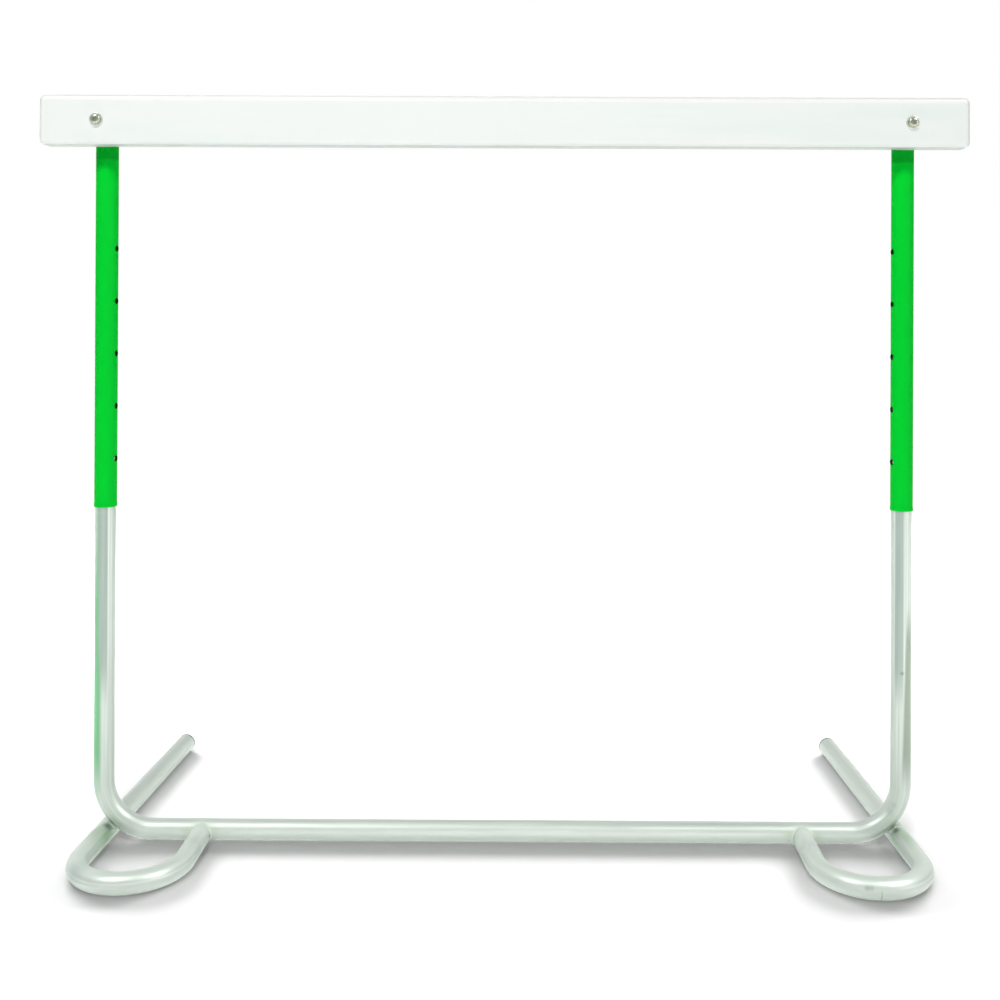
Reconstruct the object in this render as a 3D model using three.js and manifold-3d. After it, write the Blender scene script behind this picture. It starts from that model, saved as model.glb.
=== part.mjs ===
import * as THREE from 'three';
import { mergeVertices } from 'three/addons/utils/BufferGeometryUtils.js';
import Module from 'manifold-3d';

// A training hurdle: a bent steel tube frame on two hairpin feet, and a bar on two sleeves
// that slide over the uprights and stop on snap buttons. Millimetres, +Z up, the front is -Y.

const wasm = await Module();
wasm.setup();

// Tube stock of the frame and the feet, all bent on one die
const tubeDiameter = 19;
const tubeWall = 1.2;
const bendRadius = 47.5;
const tubeSides = 24;
const bendStepAngle = 13;

// Frame: two uprights and the crossbar between them
const uprightSpacing = 760;
const uprightTop = 465;

// Feet: a short run in front of the crossbar, a hairpin bend and a long leg to the back
const noseRun = 59;
const legRun = 288;
const legLean = 2.4;
const copeStart = 3.5;
const weldGap = 0.3;
const beadRadius = 1.5;
const cornerBeadLength = 5;
const cornerBeadWidth = 3;
const cornerBeadOffset = 4;

// Plugs in the leg ends
const plugHead = 3;
const plugDome = 1.4;
const plugShank = 14;
const plugWall = 1.6;
const plugRibCount = 2;
const plugRibHeight = 0.6;
const plugFit = 0.3;

// Sleeves, with one row of holes each on the side that faces the other
const slideClearance = 0.25;
const sleeveWall = 0.65;
const sleeveTail = 46;
const sleeveAboveScrew = 16;
const sleeveFlare = 0.3;
const sleeveFlareLength = 4;
const sleeveRimRadius = 0.3;
const holeCount = 5;
const holePitch = 50;
const holeClearance = 0.25;
const holeTurn = 15;

// Snap buttons and their leaf springs in the uprights
const buttonHeight = 365;
const buttonDiameter = 4.7;
const buttonProud = 2.35;
const buttonTipGap = 0.2;
const buttonDome = 0.9;
const flangeRim = 1.45;
const flangeThickness = 1;
const rivetDiameter = 2.6;
const rivetClearance = 0.3;
const leafThickness = 0.5;
const leafWidth = 7;
const leafAboveButton = 6;
const leafBelowButton = 26;
const backLeafRise = 4;

// Bar
const barOverhang = 54;
const barHeight = 47;
const barThickness = 20;
const barEdgeRadius = 4.5;
const barFaceCorner = 1;
const screwRise = 119;

// Screws, washers and nuts that hold the bar on the sleeves
const screwDiameter = 5;
const screwClearance = 0.3;
const screwHeadDiameter = 9.4;
const screwHeadHeight = 3;
const screwHeadEdge = 1.1;
const screwFlatShare = 0.5;
const screwTip = 1.2;
const recessSpan = 4.8;
const recessSlot = 1.2;
const recessDepth = 1.7;
const washerDiameter = 12.5;
const washerThickness = 1;
const rearWasherDiameter = 10;
const nutWidth = 8;
const nutHeight = 4;
const nutCollarDiameter = 7.2;
const nutCollarHeight = 1.2;

// Caps in the sleeve tops
const capHead = 2.5;
const capDome = 1.2;
const capShank = 9;
const capWall = 1.6;
const capRibCount = 1;

// Gap between faces that touch, and how far a cutter runs past what it cuts
const seatGap = 0.3;
const overrun = 2;

// Sides of turned pieces and holes, and steps of a quarter round
const turnedSides = 18;
const holeSides = 16;
const roundSteps = 4;

const left = -1;
const right = 1;
const forwards = new THREE.Vector3(0, -1, 0);
const backwards = new THREE.Vector3(0, 1, 0);
const upwards = new THREE.Vector3(0, 0, 1);
const downwards = new THREE.Vector3(0, 0, -1);
const rightwards = new THREE.Vector3(1, 0, 0);

const radians = THREE.MathUtils.degToRad;
const tubeRadius = tubeDiameter / 2;
const boreRadius = tubeRadius - tubeWall;
const halfSpacing = uprightSpacing / 2;
const barLength = uprightSpacing + 2 * barOverhang;
const sleeveBore = tubeRadius + slideClearance;
const sleeveRadius = sleeveBore + sleeveWall;
const buttonRadius = buttonDiameter / 2;
const holeRadius = buttonRadius + holeClearance;
const boltHoleRadius = screwDiameter / 2 + screwClearance;

// Plan of a foot: the hairpin's outer side starts in line with the upright
const noseX = halfSpacing - 2 * bendRadius;
const leanAngle = radians(legLean);
const legStartX = noseX + bendRadius + bendRadius * Math.cos(leanAngle);
const legStartY = bendRadius * Math.sin(leanAngle) - noseRun;
const legCrossingX = legStartX + legStartY * Math.tan(leanAngle);
const legEndX = legStartX - legRun * Math.sin(leanAngle);
const legEndY = legStartY + legRun * Math.cos(leanAngle);

// The frame's corner bends rest on the legs, which lifts the crossbar a little off the floor
const legInset = halfSpacing - legCrossingX;
const bendToLeg = bendRadius + tubeDiameter + weldGap;
const crossbarLift = Math.sqrt(bendToLeg ** 2 - (bendRadius - legInset) ** 2) - bendRadius;
const crossbarHeight = tubeRadius + crossbarLift;

// Heights with the bar at its highest setting
const topHoleHeight = buttonHeight + (holeCount - 1) * holePitch;
const screwHeight = topHoleHeight + screwRise;
const sleeveBottom = buttonHeight - sleeveTail;
const sleeveTop = screwHeight + sleeveAboveScrew;

// Depths in front of and behind the uprights' axes
const barBack = sleeveRadius + seatGap;
const barFront = barBack + barThickness;
const washerBack = barFront + seatGap;
const headBack = washerBack + washerThickness + seatGap;
const rearWasherFront = sleeveRadius + seatGap;
const nutFront = rearWasherFront + washerThickness + seatGap;
const screwEnd = nutFront + nutHeight + nutCollarHeight + screwTip;

// Buttons: pressed in, the tip rides just under the sleeve's bore, and out, it stands proud
const buttonTravel = buttonProud + sleeveWall + buttonTipGap;
const buttonTip = sleeveBore - buttonTipGap;
const flangeRadius = buttonRadius + flangeRim;
const flangeStop = Math.sqrt(boreRadius ** 2 - flangeRadius ** 2) - seatGap;
const flangeFace = flangeStop - buttonTravel;
const flangeBack = flangeFace - flangeThickness;
const leafFront = flangeBack - seatGap;
const rivetEnd = leafFront - leafThickness - seatGap;
const backLeafFace = Math.sqrt(boreRadius ** 2 - (leafWidth / 2) ** 2) - seatGap;

// The uprights' plane lies where the whole hurdle is centred front to back
const frontReach = noseRun + bendRadius + tubeRadius;
const rearReach = legEndY + (seatGap + plugHead) * Math.cos(leanAngle);
const uprightPlane = (frontReach - rearReach) / 2;

// A centreline as a tube bender makes it: straight runs, and turns towards one side of a plane
class BentPath extends THREE.Curve {
  constructor(start, heading, side, runs, turns) {
    super();
    const point = start.clone();
    let along = heading.clone();
    let across = side.clone();
    this.stations = [{ point: point.clone(), tangent: along.clone() }];
    runs.forEach((run, index) => {
      if (run > 0) {
        point.addScaledVector(along, run);
        this.stations.push({ point: point.clone(), tangent: along.clone() });
      }
      if (index < turns.length) {
        const centre = point.clone().addScaledVector(across, bendRadius);
        const angle = radians(turns[index]);
        const steps = Math.ceil(turns[index] / bendStepAngle);
        const [forward, inward] = [along, across];
        for (let step = 1; step <= steps; step += 1) {
          const turned = (angle * step) / steps;
          point.copy(centre)
            .addScaledVector(inward, -bendRadius * Math.cos(turned))
            .addScaledVector(forward, bendRadius * Math.sin(turned));
          along = blend(forward, Math.cos(turned), inward, Math.sin(turned));
          across = blend(inward, Math.cos(turned), forward, -Math.sin(turned));
          this.stations.push({ point: point.clone(), tangent: along.clone() });
        }
      }
    });
  }

  getUtoTmapping(u) {
    return u;
  }

  pair(t) {
    const place = t * (this.stations.length - 1);
    const index = Math.min(Math.floor(place), this.stations.length - 2);
    return [this.stations[index], this.stations[index + 1], place - index];
  }

  getPoint(t, target = new THREE.Vector3()) {
    const [before, after, share] = this.pair(t);
    return target.lerpVectors(before.point, after.point, share);
  }

  getTangent(t, target = new THREE.Vector3()) {
    const [before, after, share] = this.pair(t);
    return target.lerpVectors(before.tangent, after.tangent, share).normalize();
  }
}

function blend(first, firstShare, second, secondShare) {
  return first.clone().multiplyScalar(firstShare).addScaledVector(second, secondShare);
}

// A regular polygon whose flats, not its corners, lie at the radius
function ring(radius, sides) {
  const corner = radius / Math.cos(Math.PI / sides);
  return Array.from({ length: sides }, (_, index) => {
    const angle = ((index + 1 / 2) * 2 * Math.PI) / sides;
    return new THREE.Vector2(corner * Math.cos(angle), corner * Math.sin(angle));
  });
}

function sweptTube(path, radius, bore) {
  const section = new THREE.Shape(ring(radius, tubeSides));
  if (bore) {
    section.holes.push(new THREE.Path(ring(bore, tubeSides)));
  }
  return new THREE.ExtrudeGeometry(section, { steps: path.stations.length - 1, extrudePath: path });
}

// A turned piece: a profile of [radius, height] pairs, revolved about +Z
function turned(profile, sides = turnedSides) {
  const flat = Math.cos(Math.PI / sides);
  const points = profile.map(([radius, height]) => new THREE.Vector2(radius / flat, height));
  const geometry = new THREE.LatheGeometry(points, sides, Math.PI / sides);
  return geometry.rotateX(Math.PI / 2);
}

function closed(profile) {
  return [...profile, profile[0]];
}

// Points of a quarter round between two [radius, height] pairs, level or upright where it starts
function rounded([startR, startZ], [endR, endZ], flatFirst) {
  return Array.from({ length: roundSteps + 1 }, (_, index) => {
    const angle = (index * Math.PI) / 2 / roundSteps;
    const [slow, quick] = [1 - Math.cos(angle), Math.sin(angle)];
    const [shareR, shareZ] = flatFirst ? [quick, slow] : [slow, quick];
    return [startR + (endR - startR) * shareR, startZ + (endZ - startZ) * shareZ];
  });
}

function toSolid(geometry) {
  const bare = geometry.clone();
  bare.deleteAttribute('normal');
  bare.deleteAttribute('uv');
  const merged = mergeVertices(bare);
  const index = merged.getIndex().array;
  // The pole of a revolved form has triangles without area, which are left out
  const triangles = [];
  for (let first = 0; first < index.length; first += 3) {
    const [a, b, c] = index.slice(first, first + 3);
    if (a !== b && b !== c && c !== a) {
      triangles.push(a, b, c);
    }
  }
  const mesh = new wasm.Mesh({
    numProp: 3,
    vertProperties: new Float32Array(merged.getAttribute('position').array),
    triVerts: new Uint32Array(triangles),
  });
  return new wasm.Manifold(mesh);
}

function toGeometry(solid) {
  const mesh = solid.getMesh();
  const geometry = new THREE.BufferGeometry();
  geometry.setAttribute('position', new THREE.BufferAttribute(mesh.vertProperties, 3));
  geometry.setIndex(new THREE.BufferAttribute(mesh.triVerts, 1));
  return geometry;
}

// Turns a geometry that was made along +Z so that it runs along a direction from a place
function placed(geometry, place, direction) {
  const turn = new THREE.Quaternion().setFromUnitVectors(upwards, direction);
  return geometry.applyQuaternion(turn).translate(place.x, place.y, place.z);
}

function drill(radius, length, place, direction) {
  const bit = [[0, 0], [radius, 0], [radius, length], [0, length]];
  return toSolid(placed(turned(bit, holeSides), place, direction));
}

function part(name, geometry, colour, roughness, metalness) {
  const material = new THREE.MeshStandardMaterial({ color: colour, roughness, metalness });
  const mesh = new THREE.Mesh(geometry, material);
  mesh.name = name;
  return mesh;
}

const coatedSteel = [0xd4e0d6, 0.28, 0.85];
const greenPaint = [0x08d434, 0.4, 0];
const whiteBoard = [0xf4f6f5, 0.35, 0];
const nickelSteel = [0xc8cdaa, 0.3, 1];
const blackPlastic = [0x232823, 0.5, 0];
const springSteel = [0x8e9499, 0.35, 1];

// The way a button faces: to the other upright, turned a little to the front
function buttonDirection(side) {
  const angle = radians(holeTurn);
  return new THREE.Vector3(-side * Math.cos(angle), -Math.sin(angle), 0);
}

function framePath() {
  const start = new THREE.Vector3(-halfSpacing, 0, uprightTop);
  const upright = uprightTop - crossbarHeight - bendRadius;
  const crossbar = uprightSpacing - 2 * bendRadius;
  return new BentPath(start, downwards, rightwards, [upright, crossbar, upright], [90, 90]);
}

// One tube bent to a U: both uprights and the crossbar, with a hole in each upright for its button
function frameTube() {
  let solid = toSolid(sweptTube(framePath(), tubeRadius, boreRadius));
  for (const side of [left, right]) {
    const axis = new THREE.Vector3(side * halfSpacing, 0, buttonHeight);
    solid = solid.subtract(drill(holeRadius, tubeRadius + overrun, axis, buttonDirection(side)));
  }
  return toGeometry(solid);
}

// The weld around the nose, laid along the line where the two tubes meet
function noseBead(side) {
  const bead = new THREE.TorusGeometry(tubeRadius, beadRadius, 6, turnedSides);
  const places = bead.getAttribute('position');
  for (let index = 0; index < places.count; index += 1) {
    const [x, z, y] = [places.getX(index), places.getY(index), places.getZ(index)];
    const height = tubeRadius + z - crossbarHeight;
    const saddle = Math.sqrt(Math.max(tubeRadius ** 2 - height ** 2, (copeStart + beadRadius) ** 2));
    places.setXYZ(index, side * noseX + x, -saddle - y, tubeRadius + z);
  }
  return toSolid(bead);
}

// The two short welds between a leg and the corner bend above it, in front and behind
function cornerBead(side, end) {
  const towards = new THREE.Vector3(
    halfSpacing - bendRadius - legCrossingX, 0, crossbarHeight + bendRadius - tubeRadius,
  ).normalize();
  const bead = new THREE.SphereGeometry(1, 8, 6);
  bead.scale(cornerBeadLength, cornerBeadWidth, beadRadius);
  bead.rotateY(Math.atan2(side * towards.x, towards.z));
  const lean = end * cornerBeadOffset * Math.tan(leanAngle);
  bead.translate(
    side * (legCrossingX + towards.x * tubeRadius - lean),
    end * cornerBeadOffset,
    tubeRadius + towards.z * tubeRadius,
  );
  return toSolid(bead);
}

// A hairpin: its nose is coped to the crossbar's front, and its leg runs back under the corner bend
function footTube(side) {
  const start = new THREE.Vector3(side * noseX, -copeStart, tubeRadius);
  const outward = new THREE.Vector3(side, 0, 0);
  const runs = [noseRun - copeStart, 0, legRun];
  const path = new BentPath(start, forwards, outward, runs, [90, 90 + legLean]);
  const belowFloor = new THREE.BoxGeometry(uprightSpacing, uprightSpacing, tubeDiameter);
  belowFloor.translate(side * halfSpacing, 0, -tubeRadius);
  const solid = toSolid(sweptTube(path, tubeRadius, boreRadius))
    .add(noseBead(side).subtract(toSolid(sweptTube(path, boreRadius))))
    .add(cornerBead(side, forwards.y))
    .add(cornerBead(side, backwards.y))
    .subtract(toSolid(sweptTube(framePath(), tubeRadius + weldGap)))
    .subtract(toSolid(belowFloor));
  return toGeometry(solid);
}

// A plug or cap: a domed head, and a hollow shank with ribs that grip the bore
function plug(headRadius, head, dome, bore, shank, wall, ribs) {
  const shankRadius = bore - plugFit - plugRibHeight;
  const ribPitch = shank / (ribs + 1);
  const outline = [
    ...rounded([0, head], [headRadius, head - dome], true),
    [headRadius, 0],
    [shankRadius, 0],
  ];
  for (let rib = 1; rib <= ribs; rib += 1) {
    outline.push([shankRadius + plugRibHeight, -rib * ribPitch]);
    outline.push([shankRadius, -rib * ribPitch - plugRibHeight]);
  }
  outline.push([shankRadius, -shank], [shankRadius - wall, -shank], [shankRadius - wall, 0], [0, 0]);
  return turned(outline.reverse());
}

function footPlug() {
  return plug(tubeRadius, plugHead, plugDome, boreRadius, plugShank, plugWall, plugRibCount);
}

function sleeve(side) {
  const length = sleeveTop - sleeveBottom;
  const through = 2 * (sleeveRadius + overrun);
  const flareRadius = sleeveRadius + sleeveFlare;
  const tube = closed([
    [sleeveBore, sleeveRimRadius],
    [sleeveBore + sleeveRimRadius, 0],
    [flareRadius - sleeveRimRadius, 0],
    [flareRadius, sleeveRimRadius],
    [flareRadius, sleeveFlareLength / 2],
    [sleeveRadius, sleeveFlareLength],
    [sleeveRadius, length],
    [sleeveBore, length],
  ]);
  let solid = toSolid(turned(tube, tubeSides).translate(0, 0, sleeveBottom));
  for (let hole = 0; hole < holeCount; hole += 1) {
    const axis = new THREE.Vector3(0, 0, buttonHeight + hole * holePitch);
    solid = solid.subtract(drill(holeRadius, sleeveRadius + overrun, axis, buttonDirection(side)));
  }
  const front = new THREE.Vector3(0, -through / 2, screwHeight);
  return toGeometry(solid.subtract(drill(boltHoleRadius, through, front, backwards)));
}

// Made along +Z from the upright's axis, with its tip at the place that it has when pressed in
function snapButton() {
  return turned([
    [0, rivetEnd],
    [rivetDiameter / 2, rivetEnd],
    [rivetDiameter / 2, flangeBack],
    [flangeRadius, flangeBack],
    [flangeRadius, flangeFace],
    [buttonRadius, flangeFace],
    ...rounded([buttonRadius, buttonTip - buttonDome], [0, buttonTip], false),
  ], holeSides);
}

// A strip bent to a U: the front leaf carries the button, the back leaf bears on the bore
function leafSpring() {
  const [frontIn, frontOut] = [leafFront - leafThickness, leafFront];
  const [backIn, backOut] = [-backLeafFace + leafThickness, -backLeafFace];
  const middle = (frontOut + backOut) / 2;
  const outer = (frontOut - backOut) / 2;
  const strip = new THREE.Shape();
  strip.moveTo(frontOut, leafAboveButton);
  strip.lineTo(frontOut, -leafBelowButton);
  strip.absarc(middle, -leafBelowButton, outer, 0, Math.PI, true);
  strip.lineTo(backOut, backLeafRise);
  strip.lineTo(backIn, backLeafRise);
  strip.lineTo(backIn, -leafBelowButton);
  strip.absarc(middle, -leafBelowButton, outer - leafThickness, Math.PI, 0, false);
  strip.lineTo(frontIn, leafAboveButton);
  const options = { depth: leafWidth, bevelEnabled: false, curveSegments: 2 * roundSteps };
  const geometry = new THREE.ExtrudeGeometry(strip, options);
  geometry.translate(0, 0, -leafWidth / 2).rotateX(Math.PI / 2);
  const rivetHoleRadius = rivetDiameter / 2 + rivetClearance;
  const hole = drill(rivetHoleRadius, leafFront + overrun, new THREE.Vector3(), rightwards);
  return toGeometry(toSolid(geometry).subtract(hole));
}

// A board whose face has rounded corners, and whose edges are rounded all the way round
function bar() {
  const inset = barEdgeRadius + barFaceCorner;
  const [cornerX, cornerY] = [barLength / 2 - inset, barHeight / 2 - inset];
  const face = new THREE.Shape();
  for (const [turn, x, y] of [[-1, 1, -1], [0, 1, 1], [1, -1, 1], [2, -1, -1]]) {
    const start = (turn * Math.PI) / 2;
    face.absarc(x * cornerX, y * cornerY, barFaceCorner, start, start + Math.PI / 2, false);
  }
  const board = new THREE.ExtrudeGeometry(face, {
    depth: barThickness - 2 * barEdgeRadius,
    bevelThickness: barEdgeRadius,
    bevelSize: barEdgeRadius,
    bevelSegments: roundSteps,
    curveSegments: roundSteps,
  });
  board.translate(0, 0, barEdgeRadius).rotateX(Math.PI / 2).translate(0, -barBack, screwHeight);
  let solid = toSolid(board);
  for (const side of [left, right]) {
    const front = new THREE.Vector3(side * halfSpacing, -barFront - overrun, screwHeight);
    solid = solid.subtract(drill(boltHoleRadius, barThickness + 2 * overrun, front, backwards));
  }
  return toGeometry(solid);
}

// Made along +Z with the head's underside at 0 and the head above it
function screw() {
  const [radius, headRadius] = [screwDiameter / 2, screwHeadDiameter / 2];
  const length = headBack + screwEnd;
  const blank = toSolid(turned([
    [0, -length],
    [radius - screwClearance, -length],
    [radius, -length + screwTip / 2],
    [radius, 0],
    [headRadius, 0],
    ...rounded([headRadius, screwHeadEdge], [screwFlatShare * headRadius, screwHeadHeight], false),
    [0, screwHeadHeight],
  ]));
  const [span, slot] = [recessSpan / 2, recessSlot / 2];
  const cross = new THREE.Shape([
    [span, slot], [slot, slot], [slot, span], [-slot, span], [-slot, slot], [-span, slot],
    [-span, -slot], [-slot, -slot], [-slot, -span], [slot, -span], [slot, -slot], [span, -slot],
  ].map(([x, y]) => new THREE.Vector2(x, y)));
  const recess = new THREE.ExtrudeGeometry(cross, { depth: recessDepth + overrun, bevelEnabled: false });
  recess.rotateZ(Math.PI / 4).translate(0, 0, screwHeadHeight - recessDepth);
  return toGeometry(blank.subtract(toSolid(recess)));
}

function washer(diameter) {
  const [bore, radius] = [boltHoleRadius, diameter / 2];
  return turned(closed([[bore, 0], [radius, 0], [radius, washerThickness], [bore, washerThickness]]));
}

// A hexagon with its corners turned down, and the round collar of a locking nut on it
function lockNut() {
  const hexagon = new THREE.Shape(ring(nutWidth / 2, 6));
  const block = toSolid(new THREE.ExtrudeGeometry(hexagon, { depth: nutHeight, bevelEnabled: false }));
  const cornerRadius = nutWidth / 2 / Math.cos(Math.PI / 6);
  const chamfer = cornerRadius - nutWidth / 2;
  const turnedDown = toSolid(turned([
    [0, 0],
    [nutWidth / 2, 0],
    [cornerRadius + chamfer, chamfer],
    [cornerRadius + chamfer, nutHeight - chamfer],
    [nutWidth / 2, nutHeight],
    [0, nutHeight],
  ]));
  const collar = toSolid(turned([
    [0, nutHeight / 2],
    [nutCollarDiameter / 2, nutHeight / 2],
    [nutCollarDiameter / 2, nutHeight + nutCollarHeight / 2],
    [nutCollarDiameter / 2 - nutCollarHeight / 2, nutHeight + nutCollarHeight],
    [0, nutHeight + nutCollarHeight],
  ]));
  const start = new THREE.Vector3(0, 0, -overrun);
  const bore = drill(boltHoleRadius, nutHeight + nutCollarHeight + 2 * overrun, start, upwards);
  return toGeometry(block.intersect(turnedDown).add(collar).subtract(bore));
}

function sleeveCap() {
  return plug(sleeveRadius, capHead, capDome, sleeveBore, capShank, capWall, capRibCount);
}

function raised(mesh, height) {
  mesh.position.z = height;
  return mesh;
}

const hurdle = new THREE.Group();
hurdle.position.y = uprightPlane;
hurdle.add(part('base_frame_tube', frameTube(), ...coatedSteel));
hurdle.add(part('hurdle_bar', bar(), ...whiteBoard));

for (const [name, side] of [['left', left], ['right', right]]) {
  hurdle.add(part(`${name}_foot_tube`, footTube(side), ...coatedSteel));
  const leg = new THREE.Vector3(-side * Math.sin(leanAngle), Math.cos(leanAngle), 0);
  const legEnd = new THREE.Vector3(side * legEndX, legEndY, tubeRadius).addScaledVector(leg, seatGap);
  hurdle.add(part(`${name}_foot_plug`, placed(footPlug(), legEnd, leg), ...blackPlastic));

  const upright = new THREE.Group();
  upright.position.x = side * halfSpacing;
  hurdle.add(upright);
  const facing = buttonDirection(side);
  const button = placed(snapButton(), new THREE.Vector3(0, 0, buttonHeight), facing);
  upright.add(part(`${name}_snap_button`, button, ...springSteel));
  const spring = raised(part(`${name}_button_spring`, leafSpring(), ...springSteel), buttonHeight);
  spring.rotation.z = Math.atan2(facing.y, facing.x);
  upright.add(spring);

  upright.add(part(`${name}_sleeve`, sleeve(side), ...greenPaint));
  upright.add(raised(part(`${name}_sleeve_cap`, sleeveCap(), ...blackPlastic), sleeveTop + seatGap));
  const fasteners = [
    ['bar_screw', screw(), -headBack, forwards],
    ['front_washer', washer(washerDiameter), -washerBack, forwards],
    ['rear_washer', washer(rearWasherDiameter), rearWasherFront, backwards],
    ['bar_nut', lockNut(), nutFront, backwards],
  ];
  for (const [fastener, geometry, depth, direction] of fasteners) {
    const place = new THREE.Vector3(0, depth, screwHeight);
    upright.add(part(`${name}_${fastener}`, placed(geometry, place, direction), ...nickelSteel));
  }
}

export default hurdle;
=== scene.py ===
from math import atan2, cos, pi, radians, sin, sqrt, tan

import bmesh
import bpy
from mathutils import Matrix, Vector


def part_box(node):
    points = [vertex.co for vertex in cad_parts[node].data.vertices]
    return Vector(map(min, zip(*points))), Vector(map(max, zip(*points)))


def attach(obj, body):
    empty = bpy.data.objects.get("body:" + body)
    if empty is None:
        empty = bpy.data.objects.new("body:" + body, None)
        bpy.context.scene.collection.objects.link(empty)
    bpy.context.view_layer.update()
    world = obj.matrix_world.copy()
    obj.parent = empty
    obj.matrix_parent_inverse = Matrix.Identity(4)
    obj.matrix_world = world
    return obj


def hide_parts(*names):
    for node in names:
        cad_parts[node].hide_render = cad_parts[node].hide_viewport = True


# A training hurdle: a white bar on two green sleeves over a bent tube frame with hairpin feet.
# Metres, +Z up, and the front, where the hairpin bends are, is -Y.

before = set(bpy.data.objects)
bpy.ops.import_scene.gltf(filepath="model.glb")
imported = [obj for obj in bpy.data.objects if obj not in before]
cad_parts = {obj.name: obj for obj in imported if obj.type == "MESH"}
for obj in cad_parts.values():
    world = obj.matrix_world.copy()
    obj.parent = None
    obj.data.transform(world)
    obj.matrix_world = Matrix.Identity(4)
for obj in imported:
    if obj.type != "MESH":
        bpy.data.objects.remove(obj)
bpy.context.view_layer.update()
print("frame loaded,", len(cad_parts), "nodes")
mm = 0.001
sides = {"left": -1, "right": 1}


def inMetres(**millimetres):
    # Lengths, or tuples of lengths, by their names
    def metres(value):
        return tuple(map(metres, value)) if isinstance(value, tuple) else value * mm
    return {name: metres(value) for name, value in millimetres.items()}


# Places that the frame gives: each upright stands in the middle of its sleeve
sleeveLow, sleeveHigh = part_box("right_sleeve")
uprightX = (sleeveLow.x + sleeveHigh.x) / 2
uprightY = (sleeveLow.y + sleeveHigh.y) / 2
frameLow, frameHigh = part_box("base_frame_tube")
screwLow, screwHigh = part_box("right_bar_screw")
screwZ = (screwLow.z + screwHigh.z) / 2
buttonLow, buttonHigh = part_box("right_snap_button")
buttonZ = (buttonLow.z + buttonHigh.z) / 2
barLow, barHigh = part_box("hurdle_bar")

tubeStock = {**inMetres(radius=9.5, wall=1.2, bendRadius=47.5), "rings": 64, "bendSteps": 30}
tubeRadius = tubeStock["radius"]
bendRadius = tubeStock["bendRadius"]
crossbarZ = frameLow.z + tubeRadius
noseX = uprightX - 2 * bendRadius

# The holes and the buttons face the other upright, turned a little to the front
holeRow = {"count": 5, "pitch": 50 * mm, "radius": 2.6 * mm, "facing": radians(15), "sides": 40}


def holeDirection(side):
    return Vector((-side * cos(holeRow["facing"]), -sin(holeRow["facing"]), 0))


class Wire:
    # One output in a node tree, so that a sum of patterns can be written as a sum
    def __init__(self, tree, socket):
        self.tree = tree
        self.socket = socket

    def other(self, name):
        return Wire(self.tree, self.socket.node.outputs[name])

    def maths(self, operation, first, second=0, clamped=False):
        sockets = {0: first, 1: second}
        return self.tree.node("ShaderNodeMath", sockets, operation=operation, use_clamp=clamped)

    def __add__(self, value):
        return self.maths("ADD", self, value)

    def __radd__(self, value):
        return self.maths("ADD", value, self)

    def __sub__(self, value):
        return self.maths("SUBTRACT", self, value)

    def __rsub__(self, value):
        return self.maths("SUBTRACT", value, self)

    def __mul__(self, value):
        return self.maths("MULTIPLY", self, value)

    def __rmul__(self, value):
        return self.maths("MULTIPLY", value, self)

    def __truediv__(self, value):
        return self.maths("DIVIDE", self, value)

    def clamped(self):
        return self.maths("ADD", self, clamped=True)


class Tree:
    # A shader, geometry or world tree whose nodes are all made by one method
    def __init__(self, nodeTree):
        self.nodeTree = nodeTree

    def node(self, kind, sockets=None, output=0, captured=(), **settings):
        made = self.nodeTree.nodes.new(kind)
        for name, value in settings.items():
            setattr(made, name, value)
        for label, dataType in captured:
            made.capture_items.new(dataType, label)
        for name, value in (sockets or {}).items():
            if isinstance(value, Wire):
                self.nodeTree.links.new(value.socket, made.inputs[name])
            else:
                made.inputs[name].default_value = value
        return Wire(self, made.outputs[output]) if made.outputs else made

    def place(self):
        return self.node("ShaderNodeTexCoord", output="Object")

    def axis(self, vector, name):
        return self.node("ShaderNodeSeparateXYZ", {"Vector": vector}, name)

    def noise(self, vector, scale, detail=2, roughness=0.5):
        sockets = {"Vector": vector, "Scale": scale, "Detail": detail, "Roughness": roughness}
        return self.node("ShaderNodeTexNoise", sockets)

    def stretched(self, vector, scale):
        return self.node("ShaderNodeVectorMath", {0: vector, 1: scale}, operation="MULTIPLY")

    def mixed(self, share, first, second):
        # Sockets 6 and 7 are the Mix node's two colours, and output 2 is their mixture
        sockets = {0: share, 6: first, 7: second}
        return self.node("ShaderNodeMix", sockets, output=2, data_type="RGBA")

    def rising(self, value, low, high):
        # 0 below the low limit, 1 above the high one, and smooth between them
        sockets = {"Value": value, "From Min": low, "From Max": high}
        return self.node("ShaderNodeMapRange", sockets, interpolation_type="SMOOTHSTEP")

    def band(self, value, low, high, soft):
        # 1 between two limits and 0 outside them, with soft edges
        begun = self.rising(value, low - soft, low + soft)
        return begun - self.rising(value, high - soft, high + soft)

    def near(self, position, place, reach):
        # 1 at a place, falling off smoothly to 0 at the reach
        return 1 - self.rising(self.distance(position, place), 0, reach)

    def distance(self, position, place):
        sockets = {0: position, 1: place}
        return self.node("ShaderNodeVectorMath", sockets, "Value", operation="DISTANCE")


# Materials

def emptyTree(owner):
    # The node tree of a material or world, cleared of the nodes that it starts with
    owner.use_nodes = True
    owner.node_tree.nodes.clear()
    return Tree(owner.node_tree)


def paint(name, finish, look):
    # A material made by a function that returns the sockets of its Principled shader
    material = bpy.data.materials.new(name)
    tree = emptyTree(material)
    shader = tree.node("ShaderNodeBsdfPrincipled", finish(tree, look, tree.place()))
    tree.node("ShaderNodeOutputMaterial", {"Surface": shader})
    return material


def surface(tree, look, colour, uneven, height, metallic=0.0):
    # The sockets of a Principled shader, with a roughness that is uneven and a bump from a height
    strength, depth = look["bump"]
    sockets = {"Height": height, "Strength": strength, "Distance": depth}
    return {
        "Base Color": colour, "Metallic": metallic, "Roughness": (look["roughness"] + uneven).clamped(),
        "Normal": tree.node("ShaderNodeBump", sockets),
    }


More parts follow.
